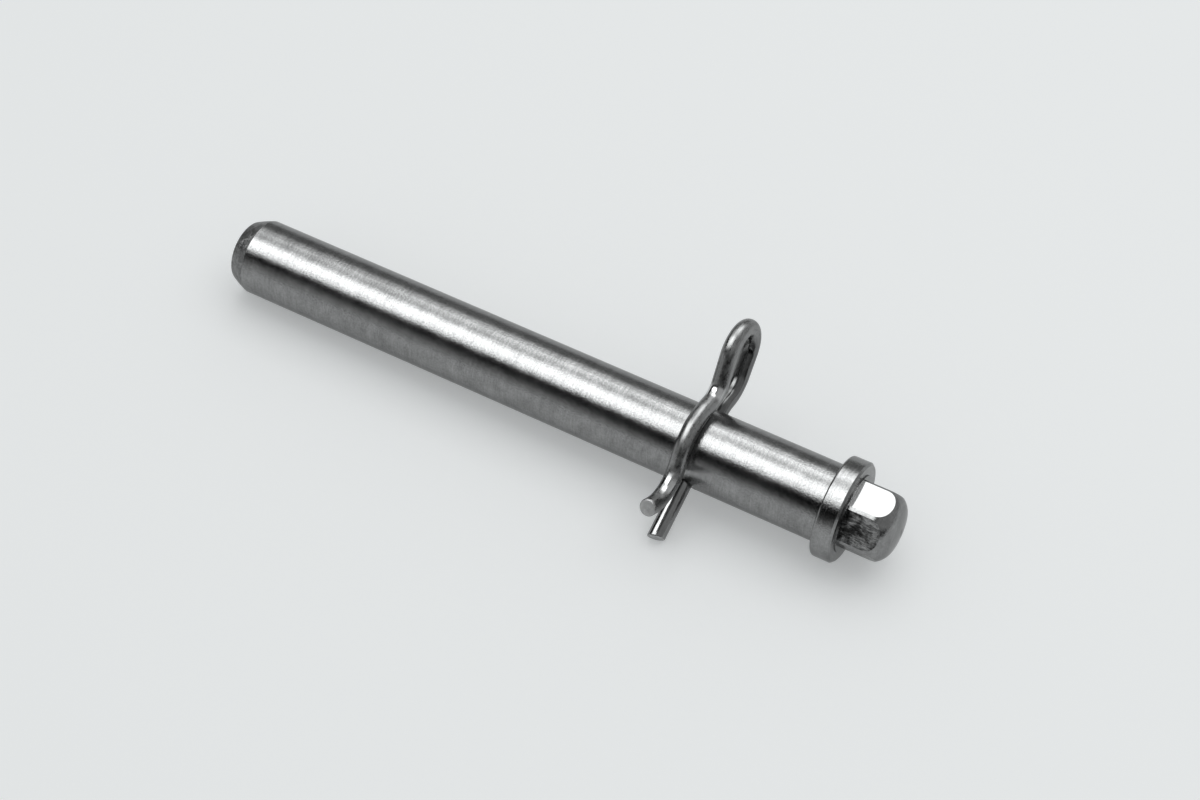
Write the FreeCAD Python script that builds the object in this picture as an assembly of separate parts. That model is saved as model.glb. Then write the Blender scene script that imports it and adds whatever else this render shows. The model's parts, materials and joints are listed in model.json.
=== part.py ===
import FreeCAD, Part
import math
import os

# Hitch pin with a hexagonal head end, a pressed stop collar and a spring clip.
# Frame: origin on the pin's axis in the plane of the collar's bearing face,
# +X along the axis towards the hexagon, +Z up, with one hexagon flat facing up.
# All sizes are in millimetres.

INCH = 25.4

# Pin: one 5/8 in bar, 5 7/8 in long, with a 13 mm hexagon milled on one end.
shank_radius = 5 / 8 * INCH / 2
overall_length = (5 + 7 / 8) * INCH
hex_across_flats = 13.0
hex_sides = 6

# Stop collar: a 13/16 in ring pressed on the bar.
collar_radius = 13 / 16 * INCH / 2
collar_width = 4.2
collar_edge_radius = 0.55
collar_edge_chamfer = 0.45

# Head end beyond the collar: a short round shoulder, the flats, a domed nose.
head_end_x = 14.15
shoulder_length = 0.25
shoulder_end_x = collar_width + shoulder_length
nose_start_x = 9.45
nose_start_radius = 7.3
nose_edge_radius = 4.35

# Tip of the shank: a slightly crowned lead-in, turned from a sharp edge on the bar
# down to the flat end, where it is rounded over.
tip_x = head_end_x - overall_length
lead_in_length = 3.85
lead_in_depth = 1.7
lead_in_crown = 0.1
tip_edge_radius = 1.0

# Cross hole, countersunk at both mouths.
cross_hole_radius = 3 / 16 * INCH / 2
cross_hole_x = -28.3
countersink_depth = 0.75
countersink_overrun = 0.5
countersink_flare = 0.5

# Spring clip, bent from round wire. It is rolled about the pin so that its leg
# slopes down to the ground that the pin lies on, and its arm leans to the tip.
wire_radius = 1.75
clip_roll_deg = 24.5
clip_lean_deg = 3.2
leg_length = 20.2
arm_end_slope_deg = 55.0
arm_end_straight = 2.3
heel_angle_deg = 55.3
heel_radius = 7.35
seat_gap = 0.12
bend_spacing = 0.03
wire_edge_chamfer = 0.25
sheared_end_deg = 12.0

# Bends of the loop: where the centre lies along the leg (u) and above it (v), and the
# radius of the wire's centre line. u and v start where the leg crosses the pin's axis.
lower_neck_bend = (-7.55, -5.4, 5.4)
lower_limb_bend = (-14.45, 4.65, 6.75)
loop_end_bend = (-19.15, 4.9, 5.25)
upper_neck_bend = (-9.7, 10.65, 4.4)

LEFT_TURN = 1
RIGHT_TURN = -1

# Two places closer than this are the same place.
SAME_PLACE = 0.01


class Bend:
    """One bend of the clip's wire round a forming peg.

    u runs along the leg towards its free end and v runs from the leg towards
    the arm. Both start where the leg crosses the pin's axis.
    """

    def __init__(self, u, v, radius, turn):
        self.centre = FreeCAD.Vector(u, v, 0)
        self.radius = radius
        self.turn = turn

    def point(self, heading):
        """The point of the bend where the wire runs in this heading."""
        left = FreeCAD.Vector(-math.sin(heading), math.cos(heading), 0)
        return self.centre - left * (self.turn * self.radius)

    def arc(self, heading_in, heading_out):
        """The stretch of the bend between two headings."""
        middle = (heading_in + heading_out) / 2
        arc = Part.Arc(self.point(heading_in), self.point(middle), self.point(heading_out))
        return arc.toShape()


def clip_bends():
    """The clip's bends, in order from the leg to the arm's free end."""
    crown_radius = shank_radius + wire_radius + seat_gap
    heel_distance = crown_radius + heel_radius + bend_spacing
    heel_angle = math.radians(heel_angle_deg)
    heel_u = heel_distance * math.cos(heel_angle)
    heel_v = heel_distance * math.sin(heel_angle)
    lower_neck = Bend(*lower_neck_bend, LEFT_TURN)
    lower_limb = Bend(*lower_limb_bend, RIGHT_TURN)
    loop_end = Bend(*loop_end_bend, RIGHT_TURN)
    upper_neck = Bend(*upper_neck_bend, LEFT_TURN)
    crown = Bend(0.0, 0.0, crown_radius, RIGHT_TURN)
    heel = Bend(heel_u, heel_v, heel_radius, LEFT_TURN)
    return [lower_neck, lower_limb, loop_end, upper_neck, crown, heel]


def heading_between(first, second):
    """Heading of the straight wire that joins two bends without a kink."""
    step = second.centre - first.centre
    offset = second.turn * second.radius - first.turn * first.radius
    heading = math.atan2(step.y, step.x) - math.asin(offset / step.Length)
    return heading % (2 * math.pi)


def clip_path(bends):
    """Edges of the clip's centre line in two runs, split at the loop's far end."""
    headings = [math.pi]
    for first, second in zip(bends, bends[1:]):
        heading = heading_between(first, second)
        if first.turn == LEFT_TURN and heading < headings[-1]:
            heading += 2 * math.pi
        if first.turn == RIGHT_TURN and heading > headings[-1]:
            heading -= 2 * math.pi
        headings.append(heading)
    headings.append(math.radians(arm_end_slope_deg))

    loop_heading = math.pi / 2
    leg_run = []
    arm_run = []
    run = leg_run
    last_point = FreeCAD.Vector(leg_length, 0, 0)
    for index, bend in enumerate(bends):
        heading_in = headings[index]
        heading_out = headings[index + 1]
        run.append(Part.makeLine(last_point, bend.point(heading_in)))
        if heading_out < loop_heading < heading_in and run is leg_run:
            run.append(bend.arc(heading_in, loop_heading))
            run = arm_run
            heading_in = loop_heading
        run.append(bend.arc(heading_in, heading_out))
        last_point = bend.point(heading_out)
    end_direction = FreeCAD.Vector(math.cos(headings[-1]), math.sin(headings[-1]), 0)
    run.append(Part.makeLine(last_point, last_point + end_direction * arm_end_straight))
    return leg_run, arm_run


def clip_placement():
    """Where the clip's own u, v plane sits on the pin."""
    roll = math.radians(clip_roll_deg)
    lean = math.radians(clip_lean_deg)
    along_leg = FreeCAD.Vector(0, -math.cos(roll), -math.sin(roll))
    upright = FreeCAD.Vector(0, -math.sin(roll), math.cos(roll))
    to_arm = upright * math.cos(lean) + FreeCAD.Vector(-math.sin(lean), 0, 0)
    normal = along_leg.cross(to_arm)
    matrix = FreeCAD.Matrix(
        along_leg.x, to_arm.x, normal.x, cross_hole_x,
        along_leg.y, to_arm.y, normal.y, 0,
        along_leg.z, to_arm.z, normal.z, 0,
        0, 0, 0, 1)
    return FreeCAD.Placement(matrix)


def swept_wire(edges):
    """A round wire along a run of edges."""
    path = Part.Wire(edges)
    first = edges[0]
    start = first.valueAt(first.FirstParameter)
    direction = first.tangentAt(first.FirstParameter)
    section = Part.Wire(Part.makeCircle(wire_radius, start, direction))
    return path.makePipeShell([section], True, True)


def end_rim(shape, point):
    """The circular edge of a wire whose centre is at this point."""
    rims = []
    for edge in shape.Edges:
        is_circle = isinstance(edge.Curve, Part.Circle)
        if is_circle and edge.Curve.Center.distanceToPoint(point) < SAME_PLACE:
            rims.append(edge)
    return rims


def clip_leg(leg_run):
    """The straight leg and the lower half of the loop, as far as its far end."""
    leg = swept_wire(leg_run)
    # The cutter left the free end sloping, shortest on the side next the collar.
    blade_size = 8 * wire_radius
    blade = Part.makeBox(blade_size, blade_size, blade_size)
    blade.translate(FreeCAD.Vector(0, -blade_size / 2, -blade_size / 2))
    blade.rotate(FreeCAD.Vector(0, 0, 0), FreeCAD.Vector(0, 1, 0), sheared_end_deg)
    shear_offset = wire_radius * math.tan(math.radians(sheared_end_deg))
    blade.translate(FreeCAD.Vector(leg_length - shear_offset, 0, 0))
    leg = leg.cut(blade)
    return leg


def clip_spring_arm(arm_run):
    """The upper half of the loop and the arm that snaps over the shank."""
    arm = swept_wire(arm_run)
    last = arm_run[-1]
    tip = last.valueAt(last.LastParameter)
    return arm.makeChamfer(wire_edge_chamfer, end_rim(arm, tip))


def revolved(profile_edges):
    """A solid turned about the X axis from a closed half profile."""
    face = Part.Face(Part.Wire(profile_edges))
    return face.revolve(FreeCAD.Vector(0, 0, 0), FreeCAD.Vector(1, 0, 0), 360)


def rims_at(shape, x):
    """The circular edges of a turned shape at one place along the X axis."""
    circles = [edge for edge in shape.Edges if isinstance(edge.Curve, Part.Circle)]
    return [edge for edge in circles if abs(edge.Curve.Center.x - x) < SAME_PLACE]


def polyline(points):
    """Straight edges through (x, radius) points."""
    vectors = [FreeCAD.Vector(x, 0, r) for x, r in points]
    return [Part.makeLine(a, b) for a, b in zip(vectors, vectors[1:])]


def lead_in_arc():
    """Half profile of the lead-in, from the flat end to the bar's full radius."""
    inner = FreeCAD.Vector(tip_x, 0, shank_radius - lead_in_depth)
    outer = FreeCAD.Vector(tip_x + lead_in_length, 0, shank_radius)
    chord = outer - inner
    outward = FreeCAD.Vector(-chord.z, 0, chord.x) / chord.Length
    crest = (inner + outer) / 2 + outward * lead_in_crown
    return Part.Arc(inner, crest, outer).toShape()


def shank():
    """The round bar with its lead-in at the tip."""
    end_face = polyline([(tip_x, 0), (tip_x, shank_radius - lead_in_depth)])
    bar_side = polyline([
        (tip_x + lead_in_length, shank_radius),
        (shoulder_end_x, shank_radius),
        (shoulder_end_x, 0),
        (tip_x, 0)])
    bar = revolved(end_face + [lead_in_arc()] + bar_side)
    return bar.makeFillet(tip_edge_radius, rims_at(bar, tip_x))


def hexagon():
    """The milled hexagon, inside the envelope turned on the bar beforehand."""
    corner_distance = hex_across_flats / math.sqrt(3)
    corners = []
    for index in range(hex_sides + 1):
        angle = 2 * math.pi * index / hex_sides
        y = corner_distance * math.cos(angle)
        z = corner_distance * math.sin(angle)
        corners.append(FreeCAD.Vector(collar_width, y, z))
    section = Part.Face(Part.makePolygon(corners))
    prism = section.extrude(FreeCAD.Vector(head_end_x - collar_width, 0, 0))
    return prism.common(head_envelope())


def nose_arcs():
    """Half profile of the nose: an edge arc that runs smoothly into a dome arc."""
    nose_length = head_end_x - nose_start_x
    edge_centre_radius = nose_start_radius - nose_edge_radius
    dome_radius = (nose_length ** 2 + edge_centre_radius ** 2 - nose_edge_radius ** 2) / (
        2 * (nose_length - nose_edge_radius))
    edge_centre = FreeCAD.Vector(nose_start_x, 0, edge_centre_radius)
    dome_centre = FreeCAD.Vector(head_end_x - dome_radius, 0, 0)
    meeting_angle = math.atan2(edge_centre_radius, dome_radius - nose_length)

    def arc(centre, radius, from_angle, to_angle):
        points = []
        for angle in (from_angle, (from_angle + to_angle) / 2, to_angle):
            points.append(centre + FreeCAD.Vector(math.cos(angle), 0, math.sin(angle)) * radius)
        return Part.Arc(*points).toShape()

    edge_arc = arc(edge_centre, nose_edge_radius, math.pi / 2, meeting_angle)
    dome_arc = arc(dome_centre, dome_radius, meeting_angle, 0)
    return [edge_arc, dome_arc]


def head_envelope():
    """Round bar that ends in a domed nose."""
    outline = polyline([
        (head_end_x, 0),
        (0, 0),
        (0, nose_start_radius),
        (nose_start_x, nose_start_radius)])
    return revolved(outline + nose_arcs())


def cross_hole():
    """The drilled hole and its two countersinks, as one tool."""
    roll = math.radians(clip_roll_deg)
    direction = FreeCAD.Vector(0, -math.cos(roll), -math.sin(roll))
    centre = FreeCAD.Vector(cross_hole_x, 0, 0)
    reach = 2 * shank_radius
    tool = Part.makeCylinder(cross_hole_radius, 2 * reach, centre - direction * reach, direction)
    length = countersink_depth + countersink_overrun
    wide_radius = cross_hole_radius + length * countersink_flare
    for side in (direction, direction * -1):
        start = centre + side * (shank_radius - countersink_depth)
        cone = Part.makeCone(cross_hole_radius, wide_radius, length, start, side)
        tool = tool.fuse(cone)
    return tool


def pin():
    """The pin: bar, hexagon and cross hole in one piece."""
    solid = shank().fuse(hexagon())
    return solid.cut(cross_hole()).removeSplitter()


def outer_rims(shape, x, radius):
    """The circular edges of this radius at one place along the X axis."""
    return [edge for edge in rims_at(shape, x) if abs(edge.Curve.Radius - radius) < SAME_PLACE]


def stop_collar():
    """The ring pressed on the bar; its face at x = 0 bears on the work."""
    ring = revolved(polyline([
        (0, shank_radius),
        (0, collar_radius),
        (collar_width, collar_radius),
        (collar_width, shank_radius),
        (0, shank_radius)]))
    bearing_rim = outer_rims(ring, 0, collar_radius)
    ring = ring.makeFillet(collar_edge_radius, bearing_rim)
    head_rim = outer_rims(ring, collar_width, collar_radius)
    return ring.makeChamfer(collar_edge_chamfer, head_rim)


def export(name, shape):
    """Write one solid as a STEP file named after its node."""
    solid = shape.Solids[0]
    assert len(shape.Solids) == 1 and solid.isValid(), name
    solid.exportStep(os.path.join("parts", name + ".step"))


def main():
    os.makedirs("parts", exist_ok=True)
    leg_run, arm_run = clip_path(clip_bends())
    placement = clip_placement()
    leg = clip_leg(leg_run)
    arm = clip_spring_arm(arm_run)
    leg.Placement = placement
    arm.Placement = placement
    export("pin", pin())
    export("stop_collar", stop_collar())
    export("clip_leg", leg)
    export("clip_spring_arm", arm)


main()
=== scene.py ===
import json
import math

import bpy
from mathutils import Matrix, Vector


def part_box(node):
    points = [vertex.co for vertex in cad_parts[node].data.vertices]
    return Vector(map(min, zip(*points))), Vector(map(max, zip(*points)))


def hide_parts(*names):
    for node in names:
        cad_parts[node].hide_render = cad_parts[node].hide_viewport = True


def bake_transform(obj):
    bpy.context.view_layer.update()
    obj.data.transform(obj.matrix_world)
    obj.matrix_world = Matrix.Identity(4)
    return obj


# The looks of a steel hitch pin with its stop collar and spring clip.
# The bar and the collar keep their CAD meshes and get turned and milled steel.
# The clip's two CAD halves are replaced by one continuous bent wire.
# Everything is in metres in the CAD frame: +X along the pin towards its hexagon, +Z up.

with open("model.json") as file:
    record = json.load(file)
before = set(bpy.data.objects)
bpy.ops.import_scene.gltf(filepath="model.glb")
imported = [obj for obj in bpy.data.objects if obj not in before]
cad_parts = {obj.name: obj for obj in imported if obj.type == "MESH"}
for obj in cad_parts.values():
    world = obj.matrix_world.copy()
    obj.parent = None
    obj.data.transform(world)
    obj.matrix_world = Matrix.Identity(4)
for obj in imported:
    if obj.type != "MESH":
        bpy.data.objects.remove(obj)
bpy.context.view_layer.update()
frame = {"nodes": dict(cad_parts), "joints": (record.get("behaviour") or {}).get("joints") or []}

MM = 0.001
TURN = 2 * math.pi

# Sizes taken from the frame.
shank_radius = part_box("pin")[1].z
collar_end_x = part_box("stop_collar")[1].x
collar_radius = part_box("stop_collar")[1].z
tip_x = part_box("pin")[0].x

# Sizes that the boxes don't show: the lead-in's length, the radius that the hexagon's corners are
# turned to, and a hair's breadth for telling one surface from the next.
lead_in_length = 3.85 * MM
corner_radius = 7.3 * MM
hair = 0.01 * MM

# Spring clip: round wire, in the clip's own plane. u runs along the leg to its free end, v from
# the leg to the arm, both from the point where the leg crosses the pin's axis. In millimetres.
wire_radius_mm = 1.75
leg_length_mm = 20.2
seat_gap_mm = 0.12
bend_spacing_mm = 0.03
heel_radius_mm = 7.35
heel_angle = math.radians(55.3)
arm_end_heading = math.radians(55.0)
arm_end_straight_mm = 2.3
sheared_end_slope = math.tan(math.radians(12.0))
station_spacing_mm = 0.22

# Bends of the loop: u and v of the centre, and the radius of the wire's centre line.
lower_neck_bend = (-7.55, -5.4, 5.4)
lower_limb_bend = (-14.45, 4.65, 6.75)
loop_end_bend = (-19.15, 4.9, 5.25)
upper_neck_bend = (-9.7, 10.65, 4.4)
loop_end_u_mm, loop_end_v_mm, loop_end_radius_mm = loop_end_bend

# Heights on the loop's far end, clear of the leg below and of the arm above.
flex_start_v_mm = wire_radius_mm + 0.05
flex_end_v_mm = loop_end_v_mm - 0.5

LEFT_TURN = 1
RIGHT_TURN = -1


# ---------------------------------------------------------------- clip geometry

def forward_of(heading):
    """The way that the wire runs at this heading."""
    return Vector((math.cos(heading), math.sin(heading)))


def left_of(heading):
    """The way to the left of wire that runs at this heading."""
    return Vector((-math.sin(heading), math.cos(heading)))


class Bend:
    """One bend of the wire round a forming peg, in the clip's plane (mm)."""

    def __init__(self, u, v, radius, turn):
        self.centre = Vector((u, v))
        self.radius = radius
        self.turn = turn

    def point(self, heading):
        """The point of the bend where the wire runs in this heading."""
        return self.centre - left_of(heading) * (self.turn * self.radius)


def clip_bends():
    """The clip's bends, in order from the leg to the arm's free end."""
    crown_radius = shank_radius / MM + wire_radius_mm + seat_gap_mm
    heel_distance = crown_radius + heel_radius_mm + bend_spacing_mm
    heel_u = heel_distance * math.cos(heel_angle)
    heel_v = heel_distance * math.sin(heel_angle)
    lower_neck = Bend(*lower_neck_bend, LEFT_TURN)
    lower_limb = Bend(*lower_limb_bend, RIGHT_TURN)
    loop_end = Bend(*loop_end_bend, RIGHT_TURN)
    upper_neck = Bend(*upper_neck_bend, LEFT_TURN)
    crown = Bend(0.0, 0.0, crown_radius, RIGHT_TURN)
    heel = Bend(heel_u, heel_v, heel_radius_mm, LEFT_TURN)
    return [lower_neck, lower_limb, loop_end, upper_neck, crown, heel]


def heading_between(first, second):
    """Heading of the straight wire that joins two bends without a kink."""
    step = second.centre - first.centre
    offset = second.turn * second.radius - first.turn * first.radius
    return (math.atan2(step.y, step.x) - math.asin(offset / step.length)) % TURN


def clip_headings(bends):
    """The wire's heading before the first bend, between bends, and after the last."""
    headings = [math.pi]
    for first, second in zip(bends, bends[1:]):
        heading = heading_between(first, second)
        if first.turn == LEFT_TURN and heading < headings[-1]:
            heading += TURN
        if first.turn == RIGHT_TURN and heading > headings[-1]:
            heading -= TURN
        headings.append(heading)
    headings.append(arm_end_heading)
    return headings


def straight_stations(start, end, heading):
    """(point, heading) at even steps from start up to, but not at, end."""
    count = max(1, round((end - start).length / station_spacing_mm))
    return [(start.lerp(end, i / count), heading) for i in range(count)]


def bend_stations(bend, heading_in, heading_out):
    """(point, heading) at even steps round a bend up to, but not at, its end."""
    length = abs(heading_out - heading_in) * bend.radius
    count = max(1, round(length / station_spacing_mm))
    headings = [heading_in + (heading_out - heading_in) * i / count for i in range(count)]
    return [(bend.point(heading), heading) for heading in headings]


def clip_stations():
    """(point, heading) along the whole centre line, from the leg's free end to the arm's."""
    bends = clip_bends()
    headings = clip_headings(bends)
    stations = []
    last_point = Vector((leg_length_mm, 0))
    for bend, heading_in, heading_out in zip(bends, headings, headings[1:]):
        stations += straight_stations(last_point, bend.point(heading_in), heading_in)
        stations += bend_stations(bend, heading_in, heading_out)
        last_point = bend.point(heading_out)
    end_point = last_point + forward_of(headings[-1]) * arm_end_straight_mm
    stations += straight_stations(last_point, end_point, headings[-1])
    stations.append((end_point, headings[-1]))
    return stations


def wire_length_mm():
    """Length of the wire along its centre line, as the stations measure it."""
    points = [point for point, heading in clip_stations()]
    return sum((after - before).length for before, after in zip(points, points[1:]))


def bend_places_mm(turn):
    """How far along the wire the middles of the bends of this turn lie."""
    bends = clip_bends()
    headings = clip_headings(bends)
    places = []
    along = 0.0
    last_point = Vector((leg_length_mm, 0))
    for bend, heading_in, heading_out in zip(bends, headings, headings[1:]):
        along += (bend.point(heading_in) - last_point).length
        arc_length = abs(heading_out - heading_in) * bend.radius
        if bend.turn == turn:
            places.append(along + arc_length / 2)
        along += arc_length
        last_point = bend.point(heading_out)
    return places


def clip_axes():
    """The clip plane's origin (m) and its unit vectors u, v and normal, from the frame's joints."""
    joints = {joint["name"]: joint for joint in frame["joints"]}
    u_axis = -Vector(joints["clip_pull"]["axis"]).normalized()
    normal = Vector(joints["arm_flex"]["axis"]).normalized()
    v_axis = normal.cross(u_axis)
    hinge = Vector(joints["arm_flex"]["pos_m"])
    hinge_u = loop_end_u_mm - loop_end_radius_mm - wire_radius_mm
    origin = hinge - (u_axis * hinge_u + v_axis * loop_end_v_mm) * MM
    return origin, u_axis, v_axis, normal


class WireMesh:
    """A round wire swept through stations in the clip's plane."""

    around_count = 56

    def __init__(self):
        self.origin, self.u_axis, self.v_axis, self.normal = clip_axes()
        self.vertices = []
        self.coordinates = []
        self.faces = []
        self.rings = []

    def place(self, u, v, off):
        """The point (m) at u and v in the clip's plane and this far off it (mm)."""
        return self.origin + (self.u_axis * u + self.v_axis * v + self.normal * off) * MM

    def add_vertex(self, spot, side, off, along):
        """One vertex with its place on the wire. Returns its number."""
        self.vertices.append(self.place(spot.x, spot.y, off))
        self.coordinates.append((side, off, along))
        return len(self.vertices) - 1

    def add_ring(self, point, heading, along, radius=wire_radius_mm, shift=None):
        """One ring of vertices across the wire, joined to the ring before it."""
        ring = []
        for index in range(self.around_count):
            angle = TURN * index / self.around_count
            side = radius * math.cos(angle)
            off = radius * math.sin(angle)
            ahead = shift(off) if shift else 0.0
            spot = point + left_of(heading) * side + forward_of(heading) * ahead
            ring.append(self.add_vertex(spot, side, off, along + ahead))
        if self.rings:
            self.join(self.rings[-1], ring)
        self.rings.append(ring)

    def join(self, first, second):
        """A band of faces between two rings."""
        for index in range(self.around_count):
            after = (index + 1) % self.around_count
            self.faces.append((first[index], first[after], second[after], second[index]))

    def close(self, ring, point, heading, along, ahead=0.0):
        """A fan of faces from the first or last ring to one vertex in the wire's middle."""
        centre = self.add_vertex(point + forward_of(heading) * ahead, 0.0, 0.0, along + ahead)
        for index in range(self.around_count):
            first, second = ring[index], ring[(index + 1) % self.around_count]
            if ring is self.rings[0]:
                first, second = second, first
            self.faces.append((first, second, centre))

    def to_object(self, name):
        """The wire as a smooth object whose vertices know their place on the wire."""
        mesh = bpy.data.meshes.new(name)
        mesh.from_pydata(self.vertices, [], self.faces)
        wire_coord = mesh.attributes.new("wire_coord", "FLOAT_VECTOR", "POINT")
        for item, value in zip(wire_coord.data, self.coordinates):
            item.vector = value
        mesh.validate()
        mesh.update()
        for polygon in mesh.polygons:
            polygon.use_smooth = True
        obj = bpy.data.objects.new(name, mesh)
        bpy.context.scene.collection.objects.link(obj)
        return obj


# The leg's cut end, from the wire's skin to its middle: share of the wire's radius, and how far
# the ring stands back from the sheared plane (mm): a rolled-over edge, then the broken face.
leg_end_profile = [(1.0, 0.30), (0.99, 0.17), (0.95, 0.07), (0.88, 0.02), (0.6, 0.0), (0.3, 0.03)]
leg_end_middle_mm = 0.05
shear_offset_mm = wire_radius_mm * sheared_end_slope
# The arm's end the same way: a filed chamfer round a flat face.
arm_end_profile = [(1.0, 0.25), (0.985, 0.19), (0.88, 0.035), (0.85, 0.0), (0.6, 0.0), (0.3, 0.0)]
arm_end_chamfer_mm = arm_end_profile[0][1]


def add_leg_end(wire, point, heading):
    """The rings of the leg's sheared end, from the middle of the wire out to its skin."""
    for share, set_back in reversed(leg_end_profile):
        wire.add_ring(point, heading, 0.0, wire_radius_mm * share,
                      lambda off: shear_offset_mm - off * sheared_end_slope + set_back)


def add_arm_end(wire, point, heading, along):
    """The rings of the arm's filed end, from the wire's skin in to its middle."""
    for share, set_back in arm_end_profile:
        wire.add_ring(point, heading, along, wire_radius_mm * share, lambda off: -set_back)


def clip_wire():
    """The whole clip as one closed mesh."""
    wire = WireMesh()
    stations = clip_stations()
    leg_point, leg_heading = stations[0]
    end_point, end_heading = stations[-1]
    # The sheared face reaches up to 1.04 mm along the wire, so the plain rings start past that.
    sheared_part = 4 * shear_offset_mm
    add_leg_end(wire, leg_point, leg_heading)
    along = 0.0
    previous = leg_point
    for point, heading in stations[1:]:
        along += (point - previous).length
        previous = point
        if along > sheared_part and (end_point - point).length > arm_end_chamfer_mm:
            wire.add_ring(point, heading, along)
    add_arm_end(wire, end_point, end_heading, along)
    wire.close(wire.rings[-1], end_point, end_heading, along)
    wire.close(wire.rings[0], leg_point, leg_heading, 0.0, shear_offset_mm + leg_end_middle_mm)
    return wire


def build_clip(material):
    """The clip's piece: one wire that replaces both CAD halves."""
    wire = clip_wire()
    clip = wire.to_object("clip_wire")
    clip.data.materials.append(material)
    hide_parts("clip_leg", "clip_spring_arm")
    far_u = loop_end_u_mm - loop_end_radius_mm
    leg_side = wire.place(far_u, flex_start_v_mm, 0.0)
    arm_side = wire.place(far_u, flex_end_v_mm, 0.0)
    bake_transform(clip)
    return clip


# ---------------------------------------------------------------- materials

class Graph:
    """A material's node tree, built one node at a time."""

    def __init__(self, name):
        self.material = bpy.data.materials.new(name)
        self.material.use_nodes = True
        self.tree = self.material.node_tree
        self.tree.nodes.clear()

    def add(self, kind, inputs=None, **settings):
        """A node of this kind. An input is a number, a colour or another node's socket."""
        node = self.tree.nodes.new(kind)
        for key, value in settings.items():
            setattr(node, key, value)
        for key, value in (inputs or {}).items():
            if isinstance(value, bpy.types.NodeSocket):
                self.tree.links.new(value, node.inputs[key])
            else:
                node.inputs[key].default_value = value
        return node

    def math(self, operation, first, second=0.0, clamp=False):
        """The result of this operation on one or two values."""
        node = self.add("ShaderNodeMath", {0: first, 1: second}, operation=operation, use_clamp=clamp)
        return node.outputs[0]

    def remap(self, value, low, high, to_low, to_high, kind="LINEAR"):
        """value between low and high, mapped to between to_low and to_high."""
        inputs = {"Value": value, "From Min": low, "From Max": high, "To Min": to_low, "To Max": to_high}
        return self.add("ShaderNodeMapRange", inputs, interpolation_type=kind).outputs["Result"]

    def rise(self, value, span, low=0.0, high=1.0):
        """A smooth change from low to high over this span of value."""
        return self.remap(value, span[0], span[1], low, high, "SMOOTHSTEP")

    def fall(self, value, span):
        """A smooth fall from 1 to 0 over this span of value."""
        return self.rise(value, span, 1.0, 0.0)

    def product(self, *factors):
        """All the factors multiplied together."""
        result = factors[0]
        for factor in factors[1:]:
            result = self.math("MULTIPLY", result, factor)
        return result

    def mix(self, factor, first, second):
        """A value between first and second."""
        node = self.add("ShaderNodeMix", {"Factor": factor, "A": first, "B": second}, data_type="FLOAT")
        return node.outputs["Result"]

    def mix_vectors(self, factor, first, second):
        """A vector between first and second."""
        node = self.add("ShaderNodeMix", {"Factor": factor}, data_type="VECTOR")
        sockets = {socket.identifier: socket for socket in node.inputs}
        self.tree.links.new(first, sockets["A_Vector"])
        self.tree.links.new(second, sockets["B_Vector"])
        results = {socket.identifier: socket for socket in node.outputs}
        return results["Result_Vector"]

    def noise(self, vector, w=0.0, detail=3.0, roughness=0.6, distortion=0.0):
        """Four-dimensional noise, from 0 to 1 with its middle at 0.5."""
        inputs = {"Vector": vector, "W": w, "Scale": 1.0, "Detail": detail,
                  "Roughness": roughness, "Distortion": distortion}
        return self.add("ShaderNodeTexNoise", inputs, noise_dimensions="4D").outputs["Fac"]

    def bump(self, height, distance, normal=None):
        """The normal of a surface that is raised by height times distance (m)."""
        inputs = {"Height": height, "Strength": 1.0, "Distance": distance}
        if normal is not None:
            inputs["Normal"] = normal
        return self.add("ShaderNodeBump", inputs).outputs["Normal"]

    def grey(self, value, tint=(1.0, 1.0, 1.0)):
        """A colour of this brightness, from a value socket."""
        parts = [self.math("MULTIPLY", value, share) for share in tint]
        node = self.add("ShaderNodeCombineColor", {"Red": parts[0], "Green": parts[1], "Blue": parts[2]})
        return node.outputs["Color"]

    def metal(self, colour, roughness, normal):
        """The finished surface: bare metal."""
        inputs = {"Base Color": colour, "Roughness": roughness, "Normal": normal, "Metallic": 1.0,
                  "Specular Tint": (0.72, 0.72, 0.72, 1.0)}
        shader = self.add("ShaderNodeBsdfPrincipled", inputs)
        self.add("ShaderNodeOutputMaterial", {"Surface": shader.outputs["BSDF"]})
        return self.material


class WorldGraph(Graph):
    """The world's node tree."""

    def __init__(self, name):
        self.world = bpy.data.worlds.new(name)
        self.world.use_nodes = True
        self.tree = self.world.node_tree
        self.tree.nodes.clear()


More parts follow.
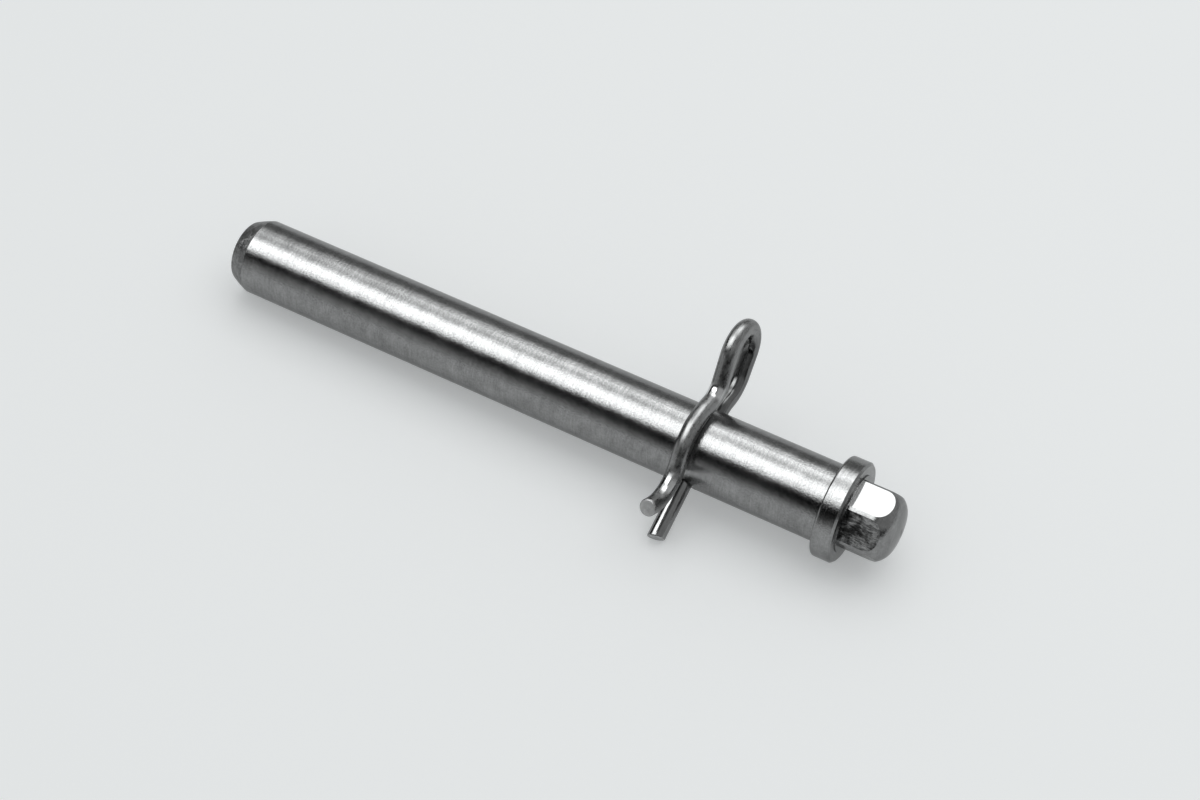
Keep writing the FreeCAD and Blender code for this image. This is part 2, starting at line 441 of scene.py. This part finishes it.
class TurnedCoordinates:
    """Where a point of a turned part is (m), how far from the axis, and which way it faces."""

    def __init__(self, graph):
        self.graph = graph
        coordinate = graph.add("ShaderNodeTexCoord")
        split = graph.add("ShaderNodeSeparateXYZ", {"Vector": coordinate.outputs["Object"]})
        self.x, self.y, self.z = split.outputs
        squares = graph.math("ADD", graph.math("MULTIPLY", self.y, self.y),
                             graph.math("MULTIPLY", self.z, self.z))
        self.radius = graph.math("SQRT", squares)
        facing = graph.add("ShaderNodeSeparateXYZ", {"Vector": coordinate.outputs["Normal"]})
        self.facing_x = facing.outputs["X"]
        self.facing_z = facing.outputs["Z"]

    def marks(self, width, length, detail=3.0, roughness=0.6, offset=0.0):
        """Noise in marks of this width (m) that run this far (m) round the part."""
        graph = self.graph
        vector = graph.add("ShaderNodeCombineXYZ", {
            "X": graph.math("MULTIPLY", graph.math("ADD", self.x, offset), 1 / width),
            "Y": graph.math("MULTIPLY", self.radius, 1 / width),
            "Z": graph.math("MULTIPLY", self.y, 1 / length)})
        w = graph.math("MULTIPLY", self.z, 1 / length)
        return graph.noise(vector.outputs["Vector"], w, detail, roughness)

    def patches(self, size, detail=3.0, roughness=0.55, offset=0.0):
        """Even noise with patches of this size (m)."""
        graph = self.graph
        vector = graph.add("ShaderNodeCombineXYZ", {
            "X": graph.math("MULTIPLY", self.x, 1 / size),
            "Y": graph.math("MULTIPLY", self.y, 1 / size),
            "Z": graph.math("MULTIPLY", self.z, 1 / size)})
        return graph.noise(vector.outputs["Vector"], offset, detail, roughness)


def turned_surface(graph, where):
    """Brightness, roughness and normal of turned bar steel."""
    fine_marks = where.marks(0.22 * MM, 3.0 * MM, detail=4.0, roughness=0.7)
    broad_marks = where.marks(1.1 * MM, 9 * MM, detail=2.0)
    grain = where.patches(0.42 * MM, detail=3.0, roughness=0.75)
    stains = where.patches(3.5 * MM, detail=5.0, roughness=0.62, offset=3.0)
    specks = where.patches(0.9 * MM, detail=3.0, roughness=0.8, offset=7.0)

    brightness = graph.remap(stains, 0.3, 0.7, 0.207, 0.287)
    brightness = graph.math("ADD", brightness, graph.remap(fine_marks, 0.3, 0.7, -0.04, 0.04))
    brightness = graph.math("ADD", brightness, graph.remap(broad_marks, 0.3, 0.7, -0.015, 0.015))
    brightness = graph.math("ADD", brightness, graph.remap(grain, 0.3, 0.7, -0.05, 0.05))
    brightness = graph.math("MULTIPLY", brightness, graph.remap(specks, 0.66, 0.74, 1.0, 0.55))
    roughness = graph.remap(fine_marks, 0.25, 0.75, 0.13, 0.21)
    roughness = graph.math("ADD", roughness, graph.remap(stains, 0.3, 0.7, -0.03, 0.04))

    normal = graph.bump(fine_marks, 4e-6)
    normal = graph.bump(grain, 32e-6, normal)
    normal = graph.bump(broad_marks, 6e-6, normal)
    return brightness, roughness, normal


def milled_surface(graph, where):
    """Brightness, roughness and normal of the flats. The cutter tore them: ripples along the bar and feed
    lines across it. Only the upward flat was cut cleanly. The flats that don't face up get dark patches of
    painted shade."""
    streaks = graph.add("ShaderNodeCombineXYZ", {
        "X": graph.math("MULTIPLY", where.x, 1 / (1.5 * MM)),
        "Y": graph.math("MULTIPLY", where.y, 1 / (0.45 * MM)),
        "Z": graph.math("MULTIPLY", where.z, 1 / (0.45 * MM))}).outputs["Vector"]
    ripples = graph.noise(streaks, 2.0, detail=4.0, roughness=0.65, distortion=0.4)
    feed = graph.math("SINE", graph.math("MULTIPLY", where.x, TURN / (0.62 * MM)))
    waves = where.patches(2.4 * MM, detail=2.0, offset=8.0)
    height = graph.math("ADD", graph.math("MULTIPLY", feed, 0.05), ripples)
    height = graph.math("ADD", height, graph.math("MULTIPLY", waves, 3.0))
    # 1 on the flats that don't face up: rough bumps there, and painted shade.
    torn_and_shaded = graph.remap(where.facing_z, 0.85, 0.95, 1.0, 0.02)
    normal = graph.bump(graph.math("MULTIPLY", height, torn_and_shaded), 80e-6)

    # Painted shade: the dark patches grow darker next to the collar.
    shade_by_collar = graph.remap(where.x, collar_end_x + 1 * MM, collar_end_x + 4 * MM, -0.09, 0.03)
    depth = graph.math("ADD", graph.math("MULTIPLY", waves, 0.6), graph.math("MULTIPLY", ripples, 0.4))
    # Painted shade: dark patches on the flats that don't face up, darker next to the collar; the upward
    # flat keeps a pale tone.
    shaded_hollows = graph.remap(graph.math("ADD", depth, shade_by_collar), 0.42, 0.56, 0.12, 1.1)
    shaded_hollows = graph.mix(torn_and_shaded, 1.1, shaded_hollows)
    brightness = graph.math("MULTIPLY", shaded_hollows, 0.26)
    roughness = graph.mix(torn_and_shaded, 0.10, 0.2)
    return brightness, roughness, normal


def lead_in_surface(graph, where, bar_brightness, bar_normal):
    """Brightness, roughness and normal of the lead-in, which was cut with a coarser tool than the
    bar and isn't ground."""
    grooves = where.marks(0.45 * MM, 20 * MM, detail=3.0, offset=0.01)
    scars = where.patches(1.1 * MM, detail=4.0, roughness=0.7, offset=12.0)
    normal = graph.bump(scars, 160e-6, graph.bump(grooves, 80e-6, bar_normal))
    brightness = graph.math("MULTIPLY", bar_brightness, graph.remap(scars, 0.35, 0.65, 0.50, 1.15))
    roughness = 0.28
    return brightness, roughness, normal


def pin_material():
    """Turned and ground bar with milled flats on its hexagon and a coarse lead-in."""
    graph = Graph("pin_turned_steel")
    where = TurnedCoordinates(graph)
    brightness, roughness, normal = turned_surface(graph, where)
    milled_brightness, milled_roughness, milled_normal = milled_surface(graph, where)
    coarse_brightness, coarse_roughness, coarse_normal = lead_in_surface(
        graph, where, brightness, normal)

    # The flats lie beyond the collar, inside the turned corners, and don't face along the axis.
    beyond_collar = graph.math("GREATER_THAN", where.x, collar_end_x + 0.3 * MM)
    side_on = graph.math("LESS_THAN", where.facing_x, 0.03)
    inside_corners = graph.math("LESS_THAN", where.radius, corner_radius - hair)
    flats = graph.math("MULTIPLY", graph.math("MULTIPLY", beyond_collar, side_on), inside_corners)
    lead_in = graph.math("LESS_THAN", where.x, tip_x + lead_in_length)

    normal = graph.mix_vectors(flats, normal, milled_normal)
    normal = graph.mix_vectors(lead_in, normal, coarse_normal)
    roughness = graph.mix(flats, roughness, milled_roughness)
    roughness = graph.mix(lead_in, roughness, coarse_roughness)
    brightness = graph.mix(flats, brightness, milled_brightness)
    brightness = graph.mix(lead_in, brightness, coarse_brightness)
    return graph.metal(graph.grey(brightness), roughness, normal)


def collar_material():
    """A turned ring with duller end faces, which painted light makes paler."""
    graph = Graph("collar_turned_steel")
    where = TurnedCoordinates(graph)
    brightness, roughness, normal = turned_surface(graph, where)
    end_face = graph.math("GREATER_THAN", graph.math("ABSOLUTE", where.facing_x), 0.9)
    roughness = graph.mix(end_face, roughness, 0.27)
    # Painted light: the end faces are made paler.
    brightness = graph.math("MULTIPLY", brightness, graph.mix(end_face, 1.0, 1.35))
    return graph.metal(graph.grey(brightness), roughness, normal)


class WireCoordinates:
    """Where a point of the wire is (mm): to its left, off its plane, and along it."""

    def __init__(self, graph):
        self.graph = graph
        place = graph.add("ShaderNodeAttribute", attribute_name="wire_coord").outputs["Vector"]
        split = graph.add("ShaderNodeSeparateXYZ", {"Vector": place})
        self.side, self.off, self.along = split.outputs

    def lines(self, width, length, detail=3.0, roughness=0.6, offset=0.0):
        """Noise in lines of this width (mm) that run this far (mm) along the wire."""
        graph = self.graph
        vector = graph.add("ShaderNodeCombineXYZ", {
            "X": graph.math("MULTIPLY", self.side, 1 / width),
            "Y": graph.math("MULTIPLY", self.off, 1 / width),
            "Z": graph.math("MULTIPLY", self.along, 1 / length)})
        return graph.noise(vector.outputs["Vector"], offset, detail, roughness)


def drawn_surface(graph, where, scale):
    """Brightness, roughness and normal of the wire as it was drawn, with scale left on it."""
    draw_lines = where.lines(0.30, 9.0, detail=4.0, roughness=0.65)
    dents = where.lines(1.1, 2.2, detail=1.0, offset=9.0)
    brightness = graph.remap(draw_lines, 0.3, 0.7, 0.20, 0.33)
    brightness = graph.math("ADD", brightness, graph.remap(scale, 0.3, 0.7, -0.06, 0.06))
    roughness = graph.remap(scale, 0.40, 0.60, 0.24, 0.38)
    normal = graph.bump(draw_lines, 14e-6)
    normal = graph.bump(scale, 14e-6, normal)
    normal = graph.bump(dents, 40e-6, normal)
    return brightness, roughness, normal


def peg_polish_and_glint(graph, where, place):
    """1 where a forming peg polished the inside of a bend whose middle is this far along, which also gets
    a painted glint.
    """
    from_middle = graph.math("ABSOLUTE", graph.math("SUBTRACT", where.along, place))
    near_middle = graph.fall(from_middle, (0.8, 2.6))
    inside = graph.remap(where.side, 0.3, 1.1, 0.0, 1.0)
    return graph.math("MULTIPLY", near_middle, inside)


def cut_ends(graph, where, wire_length):
    """1 on the wire's two cut ends and 0 elsewhere."""
    depth = 0.08
    shear_plane = graph.math("SUBTRACT", shear_offset_mm,
                             graph.math("MULTIPLY", where.off, sheared_end_slope))
    leg_end = graph.math("LESS_THAN", graph.math("SUBTRACT", where.along, shear_plane), depth)
    arm_end = graph.math("GREATER_THAN", where.along, wire_length - depth)
    return graph.math("ADD", leg_end, arm_end, clamp=True)


def wire_material():
    """Drawn spring wire, brighter where it was rubbed or cut, with painted glints inside the peg bends and
    painted shade on the loop's lower limb.
    """
    graph = Graph("spring_wire_steel")
    where = WireCoordinates(graph)
    wire_length = wire_length_mm()
    scale = where.lines(0.8, 1.6, detail=4.0, roughness=0.75, offset=4.0)
    brightness, roughness, normal = drawn_surface(graph, where, scale)

    # The loop's lower limb is smoother, and darker with painted shade where it lies under the upper limb.
    beyond_shaded_limb = graph.remap(where.along, wire_length * 0.44, wire_length * 0.54, 0.0, 1.0)
    roughness = graph.mix(beyond_shaded_limb, graph.math("MULTIPLY", roughness, 0.6), roughness)
    # Painted shade: the lower limb's colour is darkened.
    brightness = graph.mix(beyond_shaded_limb, graph.math("MULTIPLY", brightness, 0.6), brightness)

    # The first left turn is the leg's. The arm's two left turns show the forming pegs: a smoother polish
    # on the inside, brightened with a painted glint.
    for place in bend_places_mm(LEFT_TURN)[1:]:
        polish_and_glint = peg_polish_and_glint(graph, where, place)
        roughness = graph.mix(polish_and_glint, roughness, 0.12)
        # Painted highlight: the bright colour makes the glints.
        brightness = graph.mix(polish_and_glint, brightness, 0.60)

    # The leg is rubbed bright by the hole.
    leg = graph.fall(where.along, (16.0, 22.0))
    brightness = graph.math("ADD", brightness, graph.math("MULTIPLY", leg, 0.10))
    roughness = graph.mix(leg, roughness, 0.15)

    # The cut ends are bare, broken metal.
    cut = cut_ends(graph, where, wire_length)
    brightness = graph.mix(cut, brightness, graph.remap(scale, 0.3, 0.7, 0.34, 0.56))
    roughness = graph.mix(cut, roughness, 0.55)
    return graph.metal(graph.grey(brightness), roughness, normal)


# ---------------------------------------------------------------- stage

floor_half_size = 1.6
floor_brightness = 0.86
floor_glow = 0.235
floor_fade = (0.35, 1.1)
floor_gap = 0.08 * MM
floor_tint = (0.982, 1.0, 1.005)
backdrop_brightness = 0.775
backdrop_tint = (0.97, 1.0, 1.0)
fill_brightness = 0.47
studio_tint = (0.98, 1.0, 1.0)

# The softbox that lights the board: its size, how far off it hangs, and its turn about the pin's
# axis, counted as below.
board_light_width = 1.20
board_light_height = 0.90
board_light_distance = 0.90
board_light_shift = 0.10
board_light_radiance = 0.66
board_light_turn = math.radians(106)

# What the steel mirrors, by the turn about the pin's axis (degrees): 0 is level on the near side,
# 90 is up and 180 is level on the far side.
overhead_light = 4.8
overhead_near_edge = (51.0, 59.0)
overhead_near_rim = 0.60
overhead_rim_end = (58.0, 80.0)
overhead_far_edge = (84.0, 112.0)
rear_light = 4.2
rear_near_edge = (96.0, 122.0)
rear_far_edge = (124.0, 151.0)
rear_tip_share = 0.22
near_wall = 0.58
far_wall = 0.28
far_wall_edge = (100.0, 140.0)
head_side_wall = 0.41
head_side_wall_edge = (22.0, 50.0)
darkness = 0.005

# Where those lights and walls fade, by how far a direction leans to the head end: -1 is straight
# to the tip, 1 straight to the head end. The near wall's brightness falls from near_wall to
# nothing between the turns near_wall_full and near_wall_top, at both ends of near_wall_lean.
overhead_head_fade = (-0.12, 0.06)
rear_head_fade = (0.10, 0.32)
rear_tip_fade = (-0.55, -0.20)
lights_tip_fade = (-0.86, -0.74)
near_wall_lean = (-0.45, -0.20)
near_wall_full = (6.0, -2.0)
near_wall_top = (44.0, 22.0)
near_wall_head_fade = (-0.10, 0.20)
far_wall_tip_fade = (-0.90, -0.55)
far_wall_head_fade = (0.20, 0.50)
far_wall_head_share = 0.35
head_side_wall_fade = (-0.05, 0.40)

# Where the camera stands (mm) and how it is turned.
camera_place_mm = Vector((96.12, -258.36, 354.06))
camera_right = Vector((0.8692, 0.4944, 0.0)).normalized()
camera_forward = Vector((-0.3187, 0.5603, -0.7648)).normalized()
camera_focal_length_mm = 70.5
camera_sensor_width_mm = 36.0
image_width_px = 1200


def tinted(brightness, tint):
    """An opaque colour of this brightness."""
    return (*(brightness * share for share in tint), 1.0)


def floor_material():
    """Pale matt board that lets a little light through from below. Far from the part it fades
    into the plain backdrop for the camera."""
    graph = Graph("pale_floor")
    position = graph.add("ShaderNodeNewGeometry").outputs["Position"]
    distance = graph.add("ShaderNodeVectorMath", {0: position}, operation="LENGTH").outputs["Value"]
    far = graph.rise(distance, floor_fade)
    seen = graph.add("ShaderNodeLightPath").outputs["Is Camera Ray"]
    share = graph.math("MULTIPLY", far, seen)
    tone = tinted(floor_brightness, floor_tint)
    matt = graph.add("ShaderNodeBsdfDiffuse", {"Color": tone})
    soft_glow = graph.add("ShaderNodeEmission", {"Color": tone, "Strength": floor_glow / floor_brightness})
    board = graph.add("ShaderNodeAddShader", {0: matt.outputs[0], 1: soft_glow.outputs[0]})
    glow = graph.add("ShaderNodeEmission", {"Color": tinted(backdrop_brightness, backdrop_tint)})
    mixed = graph.add("ShaderNodeMixShader", {0: share})
    graph.tree.links.new(board.outputs[0], mixed.inputs[1])
    graph.tree.links.new(glow.outputs[0], mixed.inputs[2])
    graph.add("ShaderNodeOutputMaterial", {"Surface": mixed.outputs[0]})
    return graph.material


def build_floor():
    """The board that the pin lies on, tilted to pass just under the collar's rim and the tip."""
    rest_x = collar_end_x / 2
    slope = (collar_radius - shank_radius) / (rest_x - (tip_x + lead_in_length))
    mesh = bpy.data.meshes.new("floor")
    corners = []
    for x, y in ((-1, -1), (1, -1), (1, 1), (-1, 1)):
        far_x = x * floor_half_size
        height = -collar_radius - floor_gap - (far_x - rest_x) * slope
        corners.append((far_x, y * floor_half_size, height))
    mesh.from_pydata(corners, [], [(0, 1, 2, 3)])
    floor = bpy.data.objects.new("floor", mesh)
    bpy.context.scene.collection.objects.link(floor)
    floor.data.materials.append(floor_material())


def mirrored_lights(graph, turn, to_head):
    """A softbox overhead, and a second one behind that fades towards the tip."""
    overhead = graph.product(
        graph.rise(turn, overhead_near_edge), graph.fall(turn, overhead_far_edge),
        graph.rise(turn, overhead_rim_end, overhead_light * overhead_near_rim, overhead_light),
        graph.fall(to_head, overhead_head_fade))
    rear = graph.product(
        graph.rise(turn, rear_near_edge), graph.fall(turn, rear_far_edge),
        graph.remap(to_head, *rear_tip_fade, rear_tip_share * rear_light, rear_light),
        graph.fall(to_head, rear_head_fade))
    return graph.product(graph.math("ADD", overhead, rear), graph.rise(to_head, lights_tip_fade))


def mirrored_walls(graph, turn, to_head):
    """Pale walls low down, and darkness between them."""
    # The near wall reaches higher towards the tip.
    wall_full = graph.remap(to_head, *near_wall_lean, *near_wall_full)
    wall_top = graph.remap(to_head, *near_wall_lean, *near_wall_top)
    near_side = graph.product(graph.rise(turn, (wall_full, wall_top), near_wall, 0.0),
                              graph.fall(to_head, near_wall_head_fade))
    far_side = graph.product(graph.rise(turn, far_wall_edge), graph.rise(to_head, far_wall_tip_fade),
                             graph.rise(to_head, far_wall_head_fade, 1.0, far_wall_head_share),
                             far_wall)
    head_side = graph.product(graph.rise(to_head, head_side_wall_fade),
                              graph.rise(turn, head_side_wall_edge), head_side_wall)
    brightness = near_side
    for part in (far_side, head_side, darkness):
        brightness = graph.math("ADD", brightness, part)
    return brightness


def mirrored_studio(graph):
    """Brightness of the studio in each direction as the steel mirrors it."""
    direction = graph.add("ShaderNodeTexCoord").outputs["Generated"]
    to_head, to_back, upward = graph.add("ShaderNodeSeparateXYZ", {"Vector": direction}).outputs
    turn = graph.math("ARCTAN2", upward, graph.math("MULTIPLY", to_back, -1.0))
    turn = graph.math("MULTIPLY", turn, 360 / TURN)
    lights = mirrored_lights(graph, turn, to_head)
    walls = mirrored_walls(graph, turn, to_head)
    return graph.math("ADD", lights, walls)


def build_world():
    """The studio that the steel mirrors, a soft fill for the board, and the pale backdrop."""
    graph = WorldGraph("studio")
    rays = graph.add("ShaderNodeLightPath").outputs
    seen = graph.mix(rays["Is Glossy Ray"], fill_brightness, mirrored_studio(graph))
    seen = graph.mix(rays["Is Camera Ray"], seen, backdrop_brightness)
    background = graph.add("ShaderNodeBackground", {"Color": graph.grey(seen, studio_tint)})
    graph.add("ShaderNodeOutputWorld", {"Surface": background.outputs[0]})
    # Each kind of ray sees its own brightness, so the world can't be sampled as one light.
    graph.world.cycles.sampling_method = "NONE"
    bpy.context.scene.world = graph.world


def build_board_light():
    """A large softbox above and behind the pin that lights the board, not the steel."""
    outward = Vector((0, -math.cos(board_light_turn), math.sin(board_light_turn)))
    along = Vector((1, 0, 0))
    light = bpy.data.lights.new("board_softbox", "AREA")
    light.shape = "RECTANGLE"
    light.size = board_light_width
    light.size_y = board_light_height
    light.energy = board_light_radiance * math.pi * board_light_width * board_light_height
    obj = bpy.data.objects.new("board_softbox", light)
    turn = Matrix((along, outward.cross(along), outward)).transposed()
    place = outward * board_light_distance + along * board_light_shift
    obj.matrix_world = Matrix.Translation(place) @ turn.to_4x4()
    obj.visible_glossy = False
    bpy.context.scene.collection.objects.link(obj)


def build_camera():
    """A camera that looks down at the pin from the near side."""
    camera = bpy.data.cameras.new("camera")
    camera.sensor_width = camera_sensor_width_mm
    camera.lens = camera_focal_length_mm
    camera.shift_y = -1 / image_width_px
    camera.clip_start = 0.01
    camera.clip_end = 20.0
    obj = bpy.data.objects.new("camera", camera)
    up = camera_right.cross(camera_forward)
    turn = Matrix((camera_right, up, -camera_forward)).transposed()
    obj.matrix_world = Matrix.Translation(camera_place_mm * MM) @ turn.to_4x4()
    bpy.context.scene.collection.objects.link(obj)
    bpy.context.scene.camera = obj


def give_material(node, material):
    """The CAD node keeps its mesh and gets this finish."""
    obj = frame["nodes"][node]
    for material_slot in obj.material_slots:
        material_slot.material = material


give_material("pin", pin_material())
give_material("stop_collar", collar_material())
build_clip(wire_material())
build_floor()
build_world()
build_board_light()
build_camera()
bpy.context.scene.view_settings.view_transform = "Standard"
